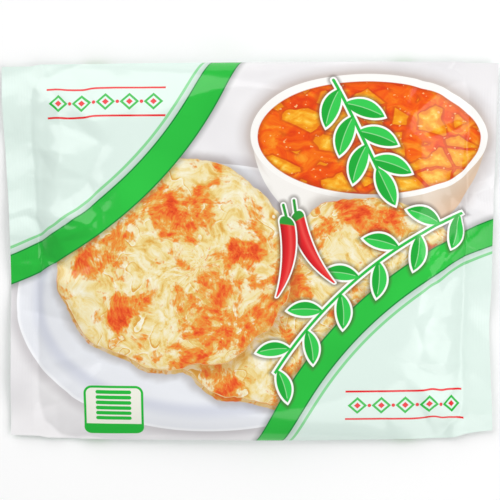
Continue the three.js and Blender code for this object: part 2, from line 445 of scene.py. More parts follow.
# %% Softened edges
EDGE_SOFTNESS = 0.5


def soften(field, radius):
    steps = np.arange(-int(3 * radius / RASTER), int(3 * radius / RASTER) + 1) * RASTER
    weights = np.exp(-0.5 * (steps / radius) ** 2)
    weights /= weights.sum()
    for axis in (0, 1):
        field = sum(w * np.roll(field, i - len(steps) // 2, axis) for i, w in enumerate(weights))
    return field


def crumpled(height, seed, spacing):
    return height * soften(facet_net(seed, spacing), EDGE_SOFTNESS)


# %% [markdown]
# Film is slack towards the ends and corners of a pack, tight over its fill, and pressed flat in
# the seals. A mask says how much of the facets' height shows at each place. On the front, six
# soft spots add to it where the photograph shows the film crumpled most.

# %% Where the film is crumpled
END_SLACK = (60, 104)  # across, where it starts and where it is full
CORNER_SLACK = (95, 135)  # from the middle
SEAL = (103, 109)  # across
SPOTS = [  # across, up, radius, strength
    (100, 12, 24, 1.4),
    (90, -12, 15, 0.8),
    (-97, 8, 18, 1.5),
    (-84, 26, 20, 0.9),
    (-46, 58, 24, 0.4),
    (-100, 74, 18, 0.4),
]

SEAL_HOLD, CORNER_HOLD = 0.75, 0.6  # of the slack is gone in the seal
FRONT_CRUMPLE = (0.08, 0.42, 0.3)  # everywhere, at the ends, at the corners
BACK_CRUMPLE = (0.2, 0.5, 0.4)

in_seal = ease(*SEAL, np.abs(RX))
slack_ends = ease(*END_SLACK, np.abs(RX)) * (1 - SEAL_HOLD * in_seal)
slack_corners = ease(*CORNER_SLACK, np.hypot(RX, RY)) * (1 - CORNER_HOLD * in_seal)


def crumple_mask(everywhere, at_ends, at_corners):
    return everywhere + at_ends * slack_ends + at_corners * slack_corners


def spot(x, y, radius, strength):
    return strength * np.exp(-((RX - x) ** 2 + (RY - y) ** 2) / radius**2)


front_mask = crumple_mask(*FRONT_CRUMPLE) + sum(spot(*place) for place in SPOTS)
back_mask = crumple_mask(*BACK_CRUMPLE)
print("front's crumple mask:", round(front_mask.min(), 2), "to", round(front_mask.max(), 2))
print("back's crumple mask:", round(back_mask.min(), 2), "to", round(back_mask.max(), 2))

# %% [markdown]
# The front has two nets: a broad one for the dents, and a small one, a tenth of a millimetre
# high, for the crinkles on them. The back, pressed against the table, has the broad one alone.

# %% The creases of both sheets
BROAD_NET, FINE_NET, BACK_NET = (1.8, 56, 14), (0.1, 23, 4.2), (1.8, 5, 14)  # height, seed, spacing
FINE_EVERYWHERE = 0.2

creases = crumpled(*BROAD_NET) * front_mask
creases += crumpled(*FINE_NET) * (FINE_EVERYWHERE + front_mask)
back_creases = crumpled(*BACK_NET) * back_mask
print("creases, mm:", round(float(creases.min()), 2), round(float(creases.max()), 2))

# %% [markdown]
# One grid of points serves both sheets, so their edges match. Its rows run straight beside the
# seam, and bend with the outline further out, because the seam itself is straight.

# %% The grid of points
COLUMNS, ROWS = 320, 244
SEAM_MARGIN = 1.0

grid_across, grid_up = np.meshgrid(np.linspace(0, 1, COLUMNS + 1), np.linspace(0, 1, ROWS + 1))
X = mix(left_edge(grid_up), right_edge(grid_up), grid_across)
straight = mix(-PACK_WIDTH / 2, PACK_WIDTH / 2, grid_up)
bent = mix(bottom_edge(grid_across), top_edge(grid_across), grid_up)
Y = mix(straight, bent, ease(SEAM_WIDTH / 2 + SEAM_MARGIN, PACK_WIDTH / 4, np.abs(straight)))
CENTRE_X = (X.min() + X.max()) / 2
CENTRE_Y = (Y.min() + Y.max()) / 2
print("grid's step, mm:", round(np.ptp(X) / COLUMNS, 2), "by", round(np.ptp(Y) / ROWS, 2))

# %% The heights at the grid's points
FIN_MARGIN = 2.0  # how far out the seals' inner lines lean at the top


def sample(field, x, y):
    column = (x + HALF_X) / RASTER
    row = (y + HALF_Y) / RASTER
    i, j = np.floor(row).astype(int), np.floor(column).astype(int)
    a, b = row - i, column - j
    near = mix(field[i, j], field[i, j + 1], b)
    far = mix(field[i + 1, j], field[i + 1, j + 1], b)
    return mix(near, far, a)


FRONT_CREASES, BACK_CREASES = sample(creases, X, Y), sample(back_creases, X, Y)
FRONT_Z, BACK_Z = film_heights(X, Y, grid_across, grid_up, FRONT_CREASES, BACK_CREASES)
gap = FRONT_Z - BACK_Z
edge_gap = max(gap[0].max(), gap[-1].max(), gap[:, 0].max(), gap[:, -1].max())
in_fins = np.abs(X) > PACK_LENGTH / 2 - FIN_WIDTH + FIN_MARGIN
print("highest point of the front, mm:", round(float(FRONT_Z.max()), 2))
print("sheets apart, mm, at the edge:", abs(round(float(edge_gap), 3)))
print("sheets apart, mm, in the fins:", round(float(gap[in_fins].max()), 3), "at most")

# %% [markdown]
# The print is laid out on flat film before the film is folded, so every point also gets its
# flat place: its distance from the middle, measured along the film. Where a crease swallows
# film, the print shifts a little, as it does on the real pack. That flat place is the UV map.

# %% The flat place of each point
FLAT_LENGTH, FLAT_WIDTH = 256.0, 204.0  # the flat film that the UV map covers


def flat_place(z):
    along = np.hypot(np.diff(X, axis=1), np.diff(z, axis=1))
    up = np.hypot(np.diff(Y, axis=0), np.diff(z, axis=0))
    u = np.pad(np.cumsum(along, axis=1), ((0, 0), (1, 0)))
    v = np.pad(np.cumsum(up, axis=0), ((1, 0), (0, 0)))
    return u - u[:, [COLUMNS // 2]] + X[:, [COLUMNS // 2]], v - v[[ROWS // 2]] + Y[[ROWS // 2]]


# %% The two sheets
def grid_faces(facing):
    row, column = np.meshgrid(np.arange(ROWS), np.arange(COLUMNS), indexing="ij")
    corner = (row * (COLUMNS + 1) + column).ravel()
    loop = [corner, corner + 1, corner + COLUMNS + 2, corner + COLUMNS + 1]
    return np.stack(loop if facing > 0 else loop[::-1], axis=-1)


def film_sheet(name, z, facing):
    u, v = flat_place(z)
    points = np.stack([X - CENTRE_X, Y - CENTRE_Y, z], axis=-1).reshape(-1, 3) * MM
    faces = grid_faces(facing)
    mesh = bpy.data.meshes.new(name)
    mesh.from_pydata(points, [], faces.tolist(), shade_flat=False)
    mesh.uv_layers.new(name="OFBake")
    flat = np.stack([u / FLAT_LENGTH + 0.5, v / FLAT_WIDTH + 0.5], axis=-1).reshape(-1, 2)
    mesh.uv_layers["OFBake"].uv.foreach_set("vector", flat[faces.ravel()].ravel())
    mesh.validate()
    piece = bpy.data.objects.new(name, mesh)
    bpy.context.scene.collection.objects.link(piece)
    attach(piece, "root")
    print(name, "flat length and width, mm:", round(float(np.ptp(u)), 1), round(float(np.ptp(v)), 1))
    return piece


front_film = film_sheet("front_film", FRONT_Z, 1)
back_film = film_sheet("back_film", BACK_Z, -1)
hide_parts(POUCH)

# %% [markdown]
# The ink is drawn with shader nodes, in millimetres on the flat film, so its edges stay sharp at
# any size and follow every fold. An image would be quicker to place but blurs close up. A sum
# made of nodes takes a line for every node and every link, and its sense is lost. Here an Amount
# is the number that a socket carries, and plain arithmetic on it makes the nodes.

# %% Sums with sockets
class Amount:
    def __init__(self, sketch, socket):
        self.sketch = sketch
        self.socket = socket

    def __add__(self, other):
        return self.sketch.sum("ADD", self, other)

    def __sub__(self, other):
        return self.sketch.sum("SUBTRACT", self, other)

    def __rsub__(self, other):
        return self.sketch.sum("SUBTRACT", other, self)

    def __mul__(self, other):
        return self.sketch.sum("MULTIPLY", self, other)

    def __truediv__(self, other):
        return self.sketch.sum("DIVIDE", self, other)

    def __neg__(self):
        return self * -1.0

    __radd__, __rmul__ = __add__, __mul__


# %% [markdown]
# A Sketch is a node tree that is being drawn. It adds a node and feeds its inputs in one call,
# and it has a short name for each sum, blend and noise that the print needs. A Mix node keeps a
# pair of sockets for every kind of value, and they share their names, so they go by number.

# %% A sketch of nodes
NODES_IN_COLUMN, COLUMN_STEP, ROW_STEP = 10, 200, -170
FACTOR = 0
NUMBER_PAIR, NUMBER_RESULT = (2, 3), 0
COLOUR_PAIR, COLOUR_RESULT = (6, 7), 2


class Sketch:
    def __init__(self, tree):
        self.tree = tree

    def node(self, kind, inputs=(), **settings):
        made = self.tree.nodes.new(kind)
        column, row = divmod(len(self.tree.nodes), NODES_IN_COLUMN)
        made.location = (column * COLUMN_STEP, row * ROW_STEP)
        for name, value in settings.items():
            setattr(made, name, value)
        for name, value in dict(inputs).items():
            self.feed(made.inputs[name], value)
        return made

    def feed(self, socket, value):
        if isinstance(value, Amount):
            self.tree.links.new(value.socket, socket)
        else:
            socket.default_value = value

    def sum(self, operation, *values):
        made = self.node("ShaderNodeMath", enumerate(values), operation=operation)
        return Amount(self, made.outputs[0])

    def hypot(self, a, b):
        return self.sum("SQRT", a * a + b * b)

    def highest(self, a, b):
        return self.sum("MAXIMUM", a, b)

    def lowest(self, a, b):
        return self.sum("MINIMUM", a, b)

    def size_of(self, a):
        return self.sum("ABSOLUTE", a)

    def ease(self, start, end, value):
        inputs = {"Value": value, "From Min": start, "From Max": end}
        made = self.node("ShaderNodeMapRange", inputs, interpolation_type="SMOOTHSTEP")
        return Amount(self, made.outputs["Result"])

    def blend(self, share, below, above):
        """Two colours, from the one to the other by a share."""
        inputs = {FACTOR: share} | dict(zip(COLOUR_PAIR, (below, above)))
        made = self.node("ShaderNodeMix", inputs, data_type="RGBA")
        return Amount(self, made.outputs[COLOUR_RESULT])

    def between(self, share, below, above):
        """The same for two numbers."""
        inputs = {FACTOR: share} | dict(zip(NUMBER_PAIR, (below, above)))
        return Amount(self, self.node("ShaderNodeMix", inputs).outputs[NUMBER_RESULT])

    def ramp(self, value, *stops):
        made = self.node("ShaderNodeValToRGB", {0: value})
        elements = made.color_ramp.elements
        for i, (position, code) in enumerate(stops):
            element = elements[i] if i < 2 else elements.new(position)
            element.position = position
            element.color = ink(code)
        return Amount(self, made.outputs[0])

    def vector(self, x, y, z=0.0):
        return Amount(self, self.node("ShaderNodeCombineXYZ", {0: x, 1: y, 2: z}).outputs[0])

    def parts(self, vector):
        made = self.node("ShaderNodeSeparateXYZ", {0: vector})
        return [Amount(self, socket) for socket in made.outputs]

    def channels(self, colour):
        made = self.node("ShaderNodeSeparateColor", {0: colour})
        return [Amount(self, socket) for socket in made.outputs]

    def noise(self, place, size, detail=2.0, roughness=0.5, distortion=0.0):
        inputs = {"Vector": place, "Scale": 1 / size, "Detail": detail, "Roughness": roughness}
        made = self.node("ShaderNodeTexNoise", inputs | {"Distortion": distortion})
        return Amount(self, made.outputs["Fac"])

    def use(self, group, **inputs):
        """A group's node: half_length= feeds its input Half Length, and so on."""
        made = self.node("ShaderNodeGroup", node_tree=group)
        for name, value in inputs.items():
            self.feed(made.inputs[name.replace("_", " ").title()], value)
        results = [Amount(self, socket) for socket in made.outputs]
        return results if len(results) > 1 else results[0]


# %% Groups and inks
def make_group(name, inputs, outputs, draw):
    """A node group with named sockets; draw is given the inputs and hands back the outputs."""
    tree = bpy.data.node_groups.new(name, "ShaderNodeTree")
    for label, value in inputs.items():
        kind = "NodeSocketColor" if isinstance(value, tuple) else "NodeSocketFloat"
        socket = tree.interface.new_socket(label, in_out="INPUT", socket_type=kind)
        socket.default_value = value
    for label, kind in outputs.items():
        tree.interface.new_socket(label, in_out="OUTPUT", socket_type=f"NodeSocket{kind}")
    sketch = Sketch(tree)
    sockets = sketch.node("NodeGroupInput").outputs
    drawn = draw(sketch, *(Amount(sketch, sockets[label]) for label in inputs))
    end = sketch.node("NodeGroupOutput")
    for socket, value in zip(end.inputs, drawn if isinstance(drawn, tuple) else (drawn,)):
        sketch.feed(socket, value)
    print("group:", name, len(tree.nodes), "nodes")
    return tree


def ink(code):
    """A colour from its six-figure screen code, as the plain light values that shaders use."""
    parts = [int(code[i : i + 2], 16) / 255 for i in (0, 2, 4)]
    return (*(c / 12.92 if c <= 0.04045 else ((c + 0.055) / 1.055) ** 2.4 for c in parts), 1.0)


print("half-bright screen grey as light:", round(ink("808080")[0], 3))

# %% [markdown]
# Every printed shape comes down to one number: how far a point is outside the shape's edge, in
# millimetres, and below zero inside. A bar and an oval make most of the print. A leaf is where
# two large circles overlap, and a pod is a capsule that narrows to a fine tip. Those two are
# bent by lifting their middle line along a parabola.

# %% Bars and ovals
PLACE = {"Across": 0.0, "Up": 0.0, "Centre Across": 0.0, "Centre Up": 0.0}
TINY = 0.0001  # keeps a division off zero


def turned(s, across, up, centre_across, centre_up, turn):
    x, y = across - centre_across, up - centre_up
    cosine, sine = s.sum("COSINE", turn), s.sum("SINE", turn)
    return x * cosine + y * sine, y * cosine - x * sine


def draw_bar(s, across, up, centre_across, centre_up, half_length, half_height, corner, turn):
    along, over = turned(s, across, up, centre_across, centre_up, turn)
    out_along = s.size_of(along) - half_length + corner
    out_over = s.size_of(over) - half_height + corner
    outside = s.hypot(s.highest(out_along, 0.0), s.highest(out_over, 0.0))
    return outside + s.lowest(s.highest(out_along, out_over), 0.0) - corner


def draw_oval(s, across, up, centre_across, centre_up, half_length, half_height):
    x, y = (across - centre_across) / half_length, (up - centre_up) / half_height
    reach = s.hypot(x, y)
    steepness = s.hypot(x / half_length, y / half_height) + TINY
    return reach * (reach - 1.0) / steepness


BAR_SIZES = {"Half Length": 10.0, "Half Height": 2.0, "Corner": 0.5, "Turn": 0.0}
BAR = make_group("Bar", PLACE | BAR_SIZES, {"Distance": "Float"}, draw_bar)
OVAL_SIZES = {"Half Length": 10.0, "Half Height": 8.0}
OVAL = make_group("Oval", PLACE | OVAL_SIZES, {"Distance": "Float"}, draw_oval)

# %% Leaves and pods
POD_TAPER = 0.9  # of its width is gone at the tip


def lifted(over, along, half_length, bend):
    return over - bend * (along * along / half_length - half_length * 0.5)


def draw_leaf(s, across, up, centre_across, centre_up, half_length, half_width, turn, bend):
    along, over = turned(s, across, up, centre_across, centre_up, turn)
    over = lifted(over, along, half_length, bend)
    radius = (half_length * half_length + half_width * half_width) / (half_width * 2.0)
    return s.hypot(along, s.size_of(over) + radius - half_width) - radius, over


def draw_pod(s, across, up, centre_across, centre_up, half_length, half_width, turn, bend):
    along, over = turned(s, across, up, centre_across, centre_up, turn)
    over = lifted(over, along, half_length, bend)
    share = s.sum("ADD", along / half_length * 0.5, 0.5)
    share = s.highest(s.lowest(share, 1.0), 0.0)
    nearest = (share * 2.0 - 1.0) * half_length
    width = half_width * (1.0 - share * share * POD_TAPER)
    return s.hypot(along - nearest, over) - width, over, share


PETAL = PLACE | {"Half Length": 9.0, "Half Width": 4.0, "Turn": 0.0, "Bend": 0.0}
FROM_EDGE = {"Distance": "Float", "From Vein": "Float"}
LEAF = make_group("Leaf", PETAL, FROM_EDGE, draw_leaf)
POD = make_group("Pod", PETAL, FROM_EDGE | {"Along": "Float"}, draw_pod)

# %% [markdown]
# The printer lays an ink where a shape's distance is negative. A soft step a quarter of a
# millimetre wide stands for the spread of ink on film. A soft shadow is the same step made
# wide and weak, outside the edge. Every shape on the print goes through the first of these
# two groups, and whatever seems to stand up from it goes through both.

# %% Laying ink and shade
INK_SPREAD = 0.12
BLACK, PAPER_WHITE = (0.0, 0.0, 0.0, 1.0), (1.0, 1.0, 1.0, 1.0)


def draw_ink(s, below, colour, distance, spread):
    return s.blend(s.ease(spread, -spread, distance), below, colour)


def draw_shade(s, below, distance, reach, strength, shade):
    return s.blend(strength * s.ease(1.0, 0.0, s.highest(distance, 0.0) / reach), below, shade)


INK_INPUTS = {"Below": PAPER_WHITE, "Ink": BLACK, "Distance": 0.0, "Spread": INK_SPREAD}
LAY = make_group("Lay Ink", INK_INPUTS, {"Print": "Color"}, draw_ink)
SHADE_INPUTS = {"Below": PAPER_WHITE, "Distance": 0.0, "Reach": 3.0, "Strength": 0.3}
SHADE = make_group("Soft Shadow", SHADE_INPUTS | {"Shade": BLACK}, {"Print": "Color"}, draw_shade)

# %% [markdown]
# The pictured flatbread is dough oiled, coiled and pressed flat, then fried on a pan. Its
# layers run round the middle of the coil, so the noise that draws them is stretched that way:
# it reads the distance from that middle in short steps and the direction in long ones. The
# same noise read a little further out says which side of each layer is lit, and where it flakes,
# a layer's lip is drawn pale with a shade beside it. A slower noise says where the bread
# browned. One crust is drawn for the whole pile, each bread reading its own part of it,
# because noise is the slowest part of the picture.

# %% Pictured crust
COIL_MIDDLE, COIL_HOLE = (12.0, -6.0), 0.5
WARP_SIZE, WARP_REACH = 24.0, 26.0
LAYER_STEP, LAYER_TURNS = 5.0, 5.0
LIGHT_STEP, LIGHT_STRENGTH = 0.12, 2.4
LIPS, LIP_SLANT, LIP_STRENGTH = 7.0, 0.6, 0.14
LIP_PALE, LIP_DARK, FLAKY = (0.14, 0.0), (0.8, 1.0), (0.42, 0.56)
PATCH_SIZE, PATCH_SEED = 17.0, 9.0
PATCHES_IN_HEAT, LAYERS_IN_HEAT, DRIFT_IN_HEAT = 0.74, 0.26, 0.16
LIT_CRUMB, LIT_BROWN = 0.36, 0.1
BROWNING, BROWN_LAYERS = (0.485, 0.545), (0.2, 0.5)
CRUMB = [(0.32, "e0a444"), (0.4, "eac670"), (0.47, "f2dc98"), (0.55, "f5e9be"), (0.68, "fcf8e4")]
BROWNED = [(0.5, "e8b456"), (0.55, "ee9a3c"), (0.59, "f0742e"), (0.64, "ea5020"), (0.71, "c83818")]


def coil_layers(s, reach, turn_x, turn_y):
    return s.noise(s.vector(reach, turn_x, turn_y), 1.0, detail=5.0, roughness=0.68)


def draw_crust(s, across, up, seed):
    inputs = {"Vector": s.vector(across, up, seed), "Scale": 1 / WARP_SIZE}
    warp = s.node("ShaderNodeTexNoise", inputs)
    bend_x, bend_y, heat_drift = s.channels(Amount(s, warp.outputs["Color"]))[:3]
    x = across - COIL_MIDDLE[0] + (bend_x - 0.5) * WARP_REACH
    y = up - COIL_MIDDLE[1] + (bend_y - 0.5) * WARP_REACH
    reach = s.hypot(x, y) + COIL_HOLE
    turn_x, turn_y = x / reach * LAYER_TURNS, y / reach * LAYER_TURNS + seed
    layers = coil_layers(s, reach / LAYER_STEP, turn_x, turn_y)
    further = coil_layers(s, reach / LAYER_STEP + LIGHT_STEP, turn_x, turn_y)
    lit = (further - layers) * LIGHT_STRENGTH
    terrace = s.sum("FRACT", (bend_x + bend_y * LIP_SLANT) * LIPS)
    lip = s.ease(*LIP_PALE, terrace) - s.ease(*LIP_DARK, terrace)
    lip = lip * s.ease(*FLAKY, heat_drift) * LIP_STRENGTH
    crumb = s.ramp(layers + lit * LIT_CRUMB + lip, *CRUMB)
    place = s.vector(across, up, seed + PATCH_SEED)
    patches = s.noise(place, PATCH_SIZE, detail=4.0, roughness=0.66, distortion=0.3)
    heat = patches * PATCHES_IN_HEAT + layers * LAYERS_IN_HEAT + (heat_drift - 0.5) * DRIFT_IN_HEAT
    browned = s.ramp(heat - lit * LIT_BROWN, *BROWNED)
    share = s.ease(*BROWNING, heat) * s.ease(*BROWN_LAYERS, layers + heat - 0.5)
    return s.blend(share, crumb, browned)


CRUST_INPUTS = {"Across": 0.0, "Up": 0.0, "Seed": 0.0}
CRUST = make_group("Pictured Crust", CRUST_INPUTS, {"Colour": "Color"}, draw_crust)

# %% [markdown]
# The bowl of curry is orange gravy with chunks of golden potato. A cell pattern scatters the
# chunks: the distance to a cell's border gives each a lumpy, cut shape, and cells with a low
# random number stay empty, so the chunks are spread unevenly. The curry is seen at a slant, so
# it is squashed in height. Small pale drops of oil float on top.

# %% Pictured curry
SLANT, DROP_SLANT = 1.6, 1.4
SWIRL_BEND = 6.0
CHUNK_PITCH, CHUNK_GAP, CHUNK_SINKING = 16.0, 1.2, 6.5
LEFT_EMPTY = (0.62, 0.25)  # a cell's random number, where sinking starts and where it is full
CHUNK_EDGE, CHUNK_SIDE, EDGE_DARKNESS = (-0.3, 0.4), 3.5, -0.22
GRAVY_SHADOW, SHADOW_STRENGTH, SHADOW_INK = -2.5, 0.6, ink("c8430c")
DROPS, DROP_STRENGTH, DROP_INK = (0.68, 0.73), 0.7, ink("ffd690")
GRAVY = [(0.32, "e23e0a"), (0.45, "f2580c"), (0.56, "f77610"), (0.68, "fba02a")]
POTATO = [(0.3, "f08c12"), (0.45, "f8a820"), (0.6, "fcc542"), (0.72, "ffe07c")]


def draw_curry(s, across, up):
    warp = s.noise(s.vector(across, up, 3.0), 8.0, detail=1.0) * SWIRL_BEND - SWIRL_BEND / 2
    place = s.vector(across + warp, up * SLANT - warp)
    gravy = s.ramp(s.noise(place, 15.0, detail=4.0, roughness=0.6, distortion=1.2), *GRAVY)
    inputs = {"Vector": place, "Scale": 1 / CHUNK_PITCH}
    flat = {"voronoi_dimensions": "2D"}
    cells = s.node("ShaderNodeTexVoronoi", inputs, **flat)
    borders = s.node("ShaderNodeTexVoronoi", inputs, feature="DISTANCE_TO_EDGE", **flat)
    sunk = s.ease(*LEFT_EMPTY, s.channels(Amount(s, cells.outputs["Color"]))[0])
    inside = Amount(s, borders.outputs["Distance"]) * CHUNK_PITCH - CHUNK_GAP - sunk * CHUNK_SINKING
    gravy = s.blend(s.ease(GRAVY_SHADOW, 0.0, inside) * SHADOW_STRENGTH, gravy, SHADOW_INK)
    glow = s.noise(place, 5.0, detail=3.0, roughness=0.6)
    chunk = s.ramp(glow + s.ease(CHUNK_SIDE, 0.0, inside) * EDGE_DARKNESS, *POTATO)
    curry = s.blend(s.ease(*CHUNK_EDGE, inside), gravy, chunk)
    drops = s.noise(s.vector(across, up * DROP_SLANT, 8.0), 2.6, detail=1.0)
    return s.blend(s.ease(*DROPS, drops) * DROP_STRENGTH, curry, DROP_INK)


CURRY = make_group("Pictured Curry", {"Across": 0.0, "Up": 0.0}, {"Colour": "Color"}, draw_curry)

# %% [markdown]
# The print builds up in layers, as a printer's plates do: first the picture and a small label,
# then the green sweeps with the mint corners that cover part of it, and last the other small
# things on top. A function that prints a thing is given the colour laid so far, and hands it
# back with its own thing laid over it.

# %% The plate
MINT, GREEN, RED, WHITE = ink("e1f2ea"), ink("20bc3c"), ink("ea1e26"), ink("fdfefa")
PLATE = (-22.0, -24.0, 98.0, 67.0)  # middle across and up, half length, half height
WELL_START, WELL_FULL = 5.0, 12.0  # in from the plate's edge
WELL_FLOOR = 17.0
LIT_RIM = (-2.2, -0.4)
CHINA, CHINA_SLOPE, CHINA_LIT = ink("eceef3"), ink("dadde8"), ink("f9fafd")
PLATE_SHADE = {"reach": 7.0, "strength": 0.35, "shade": ink("8d8288")}


def oval(s, u, v, shape):
    names = ("centre_across", "centre_up", "half_length", "half_height")
    return s.use(OVAL, across=u, up=v, **dict(zip(names, shape)))


def print_plate(s, u, v, colour):
    plate = oval(s, u, v, PLATE)
    colour = s.use(SHADE, below=colour, distance=plate, **PLATE_SHADE)
    slope = s.ease(-WELL_FLOOR, -WELL_FULL, plate) * s.ease(-WELL_START, -WELL_FULL, plate)
    china = s.blend(slope, CHINA, CHINA_SLOPE)
    china = s.blend(s.ease(*LIT_RIM, plate), china, CHINA_LIT)
    return s.use(LAY, below=colour, ink=china, distance=plate)


print("pictured plate, mm:", 2 * PLATE[2], "by", 2 * PLATE[3])

# %% [markdown]
# The bowl is a rim seen at a slant, a rounder body below it, and a small foot. Its wall is lit
# from the upper left and warms towards the right, where the food throws its colour back.

# %% The bowl
BOWL = (60.0, 57.0, 60.0, 32.0)
BOWL_DEPTH = 53.0
FOOT_HALF_LENGTH, FOOT_HALF_HEIGHT, FOOT_RISE = 20.0, 5.5, 3.0
BODY_INSET = 1.0
LIP_WIDTH, GRAVY_SINK, GRAVY_SPREAD = 3.5, 0.8, 0.25
WALL = [(0.0, "f6f3ee"), (0.3, "e9e3db"), (0.55, "e0cdb9"), (0.85, "d9a473")]
RIM_CHINA = ink("fbf9f5")
BOWL_SHADE = {"reach": 9.0, "strength": 0.34, "shade": ink("8a6a55")}
RIM_SHADE = {"reach": 4.0, "strength": 0.25, "shade": ink("a88a70")}
POOL_SHADE = {"reach": 2.5, "strength": 0.5, "shade": ink("a83408")}


def print_bowl(s, u, v, colour):
    middle_u, middle_v, half_length, half_height = BOWL
    rim = oval(s, u, v, BOWL)
    body = oval(s, u, v, (middle_u, middle_v, half_length - BODY_INSET, BOWL_DEPTH))
    body = s.highest(body, v - middle_v)
    foot_v = middle_v - BOWL_DEPTH + FOOT_RISE
    foot = oval(s, u, v, (middle_u, foot_v, FOOT_HALF_LENGTH, FOOT_HALF_HEIGHT))
    outline = s.lowest(s.lowest(rim, body), foot)
    colour = s.use(SHADE, below=colour, distance=outline, **BOWL_SHADE)
    side = (u - middle_u) / half_length * 0.5 + (middle_v - v) / BOWL_DEPTH * 0.5
    colour = s.use(LAY, below=colour, ink=s.ramp(side, *WALL), distance=outline)
    colour = s.use(SHADE, below=colour, distance=s.highest(rim, -body), **RIM_SHADE)
    colour = s.use(LAY, below=colour, ink=RIM_CHINA, distance=rim)
    inner = (middle_u, middle_v - GRAVY_SINK, half_length - LIP_WIDTH, half_height - LIP_WIDTH)
    pool = oval(s, u, v, inner)
    curry = s.use(CURRY, across=u, up=v)
    curry = s.use(SHADE, below=curry, distance=-pool, **POOL_SHADE)
    return s.use(LAY, below=colour, ink=curry, distance=pool, spread=GRAVY_SPREAD)


print("pictured bowl, mm across:", 2 * BOWL[2])

# %% [markdown]
# A pile of three breads leans over the plate. Their edges are ovals made uneven by one slow and
# one quick noise. The pile's outline and shade are worked out first, bread by bread from the
# lowest up, and every point remembers which bread is on top there and where it is on that bread.
# The crust is then drawn once, from those.

# %% The breads
BREADS = [  # middle across and up, half length, half height, seed; the lowest bread comes first
    (58.0, -10.0, 50.0, 37.0, 5.0),
    (12.0, -40.0, 54.0, 36.0, 11.0),
    (-38.0, -6.0, 60.0, 53.0, 2.0),
]
BREAD_SIDE = 2.4  # how much of a bread's side shows below its face
EDGE_SPREAD = 0.3
SLOW_SIZE, SLOW_REACH = 24.0, 12.0
QUICK_SIZE, QUICK_REACH = 4.5, 1.8
CAST, CAST_STRENGTH = (7.0, -1.0), 0.45  # shade that a bread throws on the one below
CURL, CURL_STRENGTH = (-5.0, 0.0), 0.12  # where its own edge turns down
BREAD_DARK = ink("a8642a")
PILE_SHADE = {"reach": 6.0, "strength": 0.45, "shade": ink("7c6a5e")}


def nearer(s, a, b):
    return b if a is None else s.lowest(a, b)


def uneven(s, u, v):
    slow = s.noise(s.vector(u, v), SLOW_SIZE, detail=1.0) * SLOW_REACH - SLOW_REACH / 2
    return slow + s.noise(s.vector(u, v, 4.0), QUICK_SIZE, detail=1.0) * QUICK_REACH


def print_breads(s, u, v, colour):
    wobble = uneven(s, u, v)
    x, y, seed, shade = u, v, 0.0, 0.0
    pile = None
    for middle_u, middle_v, half_length, half_height, own_seed in BREADS:
        face = oval(s, u, v, (middle_u, middle_v, half_length, half_height)) + wobble
        side = oval(s, u, v, (middle_u, middle_v - BREAD_SIDE, half_length, half_height)) + wobble
        on_face = s.ease(EDGE_SPREAD, -EDGE_SPREAD, face)
        x, y = s.between(on_face, x, u - middle_u), s.between(on_face, y, v - middle_v)
        seed = s.between(on_face, seed, own_seed)
        cast = s.ease(*CAST, side) * CAST_STRENGTH
        curl = s.ease(*CURL, face) * CURL_STRENGTH
        shade = s.between(on_face, s.highest(shade, cast), curl)
        pile = nearer(s, pile, s.lowest(face, side))
    colour = s.use(SHADE, below=colour, distance=pile, **PILE_SHADE)
    crust = s.use(CRUST, across=x, up=y, seed=seed)
    crust = s.blend(shade, crust, BREAD_DARK)
    return s.use(LAY, below=colour, ink=crust, distance=pile, spread=EDGE_SPREAD)


print("pictured breads, mm across:", [2 * bread[2] for bread in BREADS])

# %% The picture
GROUND_SIZE = 40.0
GROUND = [(0.3, "e8e6e8"), (0.7, "f5f3f4")]


def print_picture(s, u, v):
    colour = s.ramp(s.noise(s.vector(u, v), GROUND_SIZE), *GROUND)
    colour = print_plate(s, u, v, colour)
    colour = print_bowl(s, u, v, colour)
    return print_breads(s, u, v, colour)


# %% [markdown]
# Small things stand on top of the picture: a sprig of curry leaves beside the lower sweep, a
# second one over the bowl, two red chillies, two bands of diamonds and a framed label. Each
# leaf, sprig and chilli has a pale edge and a soft shadow, which lift it off the ground. A
# leaf is lit on one half and shaded on the other, on either side of its vein.

# %% Raised shapes and leaves
LEAF_WIDTH = 0.4  # of its length
VEIN_HALF, VEIN_INSET, VEIN_BLUR = 0.22, 1.2, 0.4
LEAF_DARK, LEAF_LIT, VEIN_PALE = ink("1cac38"), ink("36cc52"), ink("93dd96")
LEAF_EDGE = 1.0
RAISED_SHADE = {"reach": 2.4, "strength": 0.6, "shade": ink("4a3c34")}


def raise_shape(s, colour, shape, fill, edge):
    rim = shape - edge
    colour = s.use(SHADE, below=colour, distance=rim, **RAISED_SHADE)
    colour = s.use(LAY, below=colour, ink=WHITE, distance=rim)
    return s.use(LAY, below=colour, ink=fill, distance=shape)


def print_leaves(s, u, v, colour, stem, leaves):
    """Each leaf is its middle, its turn, its half length and its bend."""
    shape, veins, lit = stem, None, 0.5
    for middle_u, middle_v, turn, half_length, bend in leaves:
        distance, over = s.use(
            LEAF, across=u, up=v, centre_across=middle_u, centre_up=middle_v,
            half_length=half_length, half_width=half_length * LEAF_WIDTH, turn=turn, bend=bend,
        )
        shape = s.lowest(shape, distance)
        on_leaf = s.ease(EDGE_SPREAD, -EDGE_SPREAD, distance)
        lit = s.between(on_leaf, lit, s.ease(-VEIN_BLUR, VEIN_BLUR, over))
        vein = s.highest(s.size_of(over) - VEIN_HALF, distance + VEIN_INSET)
        veins = nearer(s, veins, vein)
    colour = raise_shape(s, colour, shape, s.blend(lit, LEAF_DARK, LEAF_LIT), LEAF_EDGE)
    return s.use(LAY, below=colour, ink=VEIN_PALE, distance=veins)


# %% [markdown]
# Both green sweeps are rings round a point far off the pack, so each shows as one long, calm
# curve. The first sprig follows the lower sweep: its stem is a part of a larger ring round the
# same point, cut off by a slanting bar, and its leaves stand along it to either side in turn.

